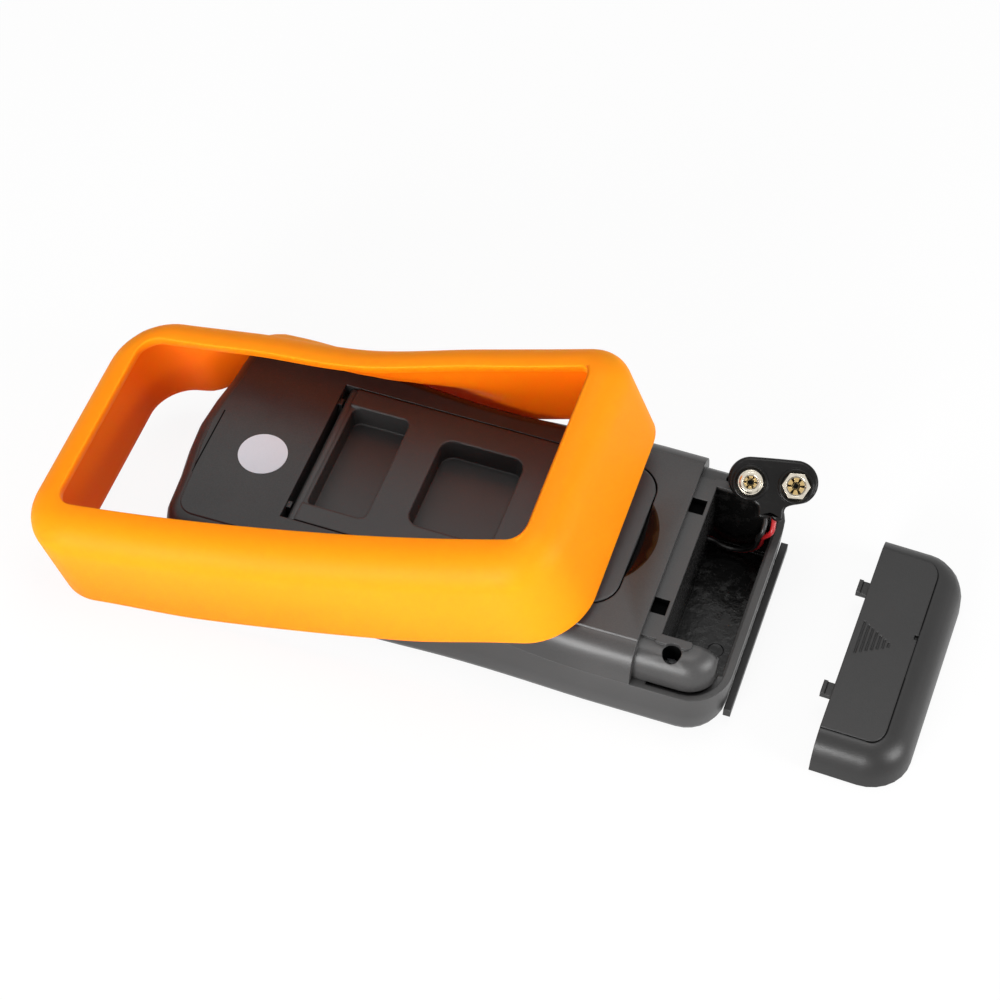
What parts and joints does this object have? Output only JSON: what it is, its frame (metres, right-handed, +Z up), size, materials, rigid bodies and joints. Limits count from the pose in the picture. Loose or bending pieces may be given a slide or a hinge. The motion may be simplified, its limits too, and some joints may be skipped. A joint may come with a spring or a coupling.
{
  "type": "digital_multimeter",
  "caption": "Hand-held digital multimeter lying face down, its rubber holster half pulled off, battery cover removed and the battery snap hanging out of the empty bay",
  "frame": {"origin": "middle of the instrument's front, in the plane of its front rim, which lies on the table", "axes": "+X runs from the display end to the battery end, +Y to the far side, +Z up from the face to the back"},
  "size_m": [0.2546, 0.0971, 0.0681],
  "materials": {
    "case_plastic": "fine satin texture, dark warm grey",
    "black_plastic": "plain black moulding",
    "printed_plate": "plain dark plate, no print",
    "clear_window": "clear acrylic",
    "display_cell": "grey-green liquid crystal cell",
    "pale_plastic": "natural white moulding",
    "strip_rubber": "layered contact rubber",
    "board_laminate": "green solder mask",
    "blue_plastic": "blue trimmer body",
    "fuse_ceramic": "white ceramic tube",
    "brass_parts": "bright brass",
    "copper_wire": "bare copper alloy",
    "steel_parts": "zinc plated",
    "red_plastic": "red key",
    "key_plastic": "pale grey key",
    "paper_label": "white coated paper, blank",
    "snap_vinyl": "soft black vinyl",
    "nickel": "nickel plated",
    "red_vinyl": "red lead insulation",
    "holster_rubber": "soft orange rubber, satin"
  },
  "bodies": {
    "meter": {"front_case": "case_plastic", "back_case": "case_plastic", "end_rib": "black_plastic", "face_plate": "printed_plate", "window_lens": "clear_window", "display_glass": "display_cell", "display_frame": "pale_plastic", "display_strips": "strip_rubber", "main_board": "board_laminate", "measuring_chip": "black_plastic", "trim_pots": "blue_plastic", "fuses": "fuse_ceramic", "fuse_clips": "brass_parts", "current_shunt": "copper_wire", "buzzer": "black_plastic", "jack_block": "black_plastic", "jack_sleeves": "brass_parts", "detent_ring": "pale_plastic", "power_switch": "black_plastic", "hold_switch": "black_plastic", "case_screws": "steel_parts", "board_screws": "steel_parts", "inspection_sticker": "paper_label", "snap_body": "snap_vinyl", "snap_stud": "nickel", "snap_socket": "nickel", "lead_red": "red_vinyl", "lead_black": "snap_vinyl"},
    "selector": {"selector_knob": "black_plastic", "wiper_disc": "pale_plastic", "wiper_contacts": "brass_parts", "detent_balls": "steel_parts", "detent_springs": "steel_parts"},
    "power_key": {"power_button": "red_plastic"},
    "hold_key": {"hold_button": "key_plastic"},
    "stand": {"tilt_stand": "case_plastic"},
    "cover": {"battery_cover": "case_plastic"},
    "sleeve": {"holster": "holster_rubber"}
  },
  "joints": [
    {"name": "selector_turn", "type": "hinge", "parent": "meter", "child": "selector", "pos_m": [0, 0, 0.003], "axis": [0, 0, 1], "continuous": true},
    {"name": "power_press", "type": "slide", "parent": "meter", "child": "power_key", "axis": [0, 0, 1], "range_m": [0, 0.0015], "stiffness_N_per_m": 600},
    {"name": "hold_press", "type": "slide", "parent": "meter", "child": "hold_key", "axis": [0, 0, 1], "range_m": [0, 0.0015], "stiffness_N_per_m": 600},
    {"name": "holster_lift", "type": "slide", "parent": "meter", "child": "sleeve", "axis": [0, 0, 1], "range_m": [0, 0.11]},
    {"name": "stand_tilt", "type": "hinge", "parent": "meter", "child": "stand", "pos_m": [-0.0467, 0, 0.0273], "axis": [0, -1, 0], "range_deg": [0, 60]},
    {"name": "cover_slide", "type": "slide", "parent": "meter", "child": "cover", "axis": [1, 0, 0], "range_m": [-0.016, 0.05]}
  ],
  "couplings": [
    {"joint": "stand_tilt", "follows": "holster_lift", "rad_per_m": 9.5}
  ]
}
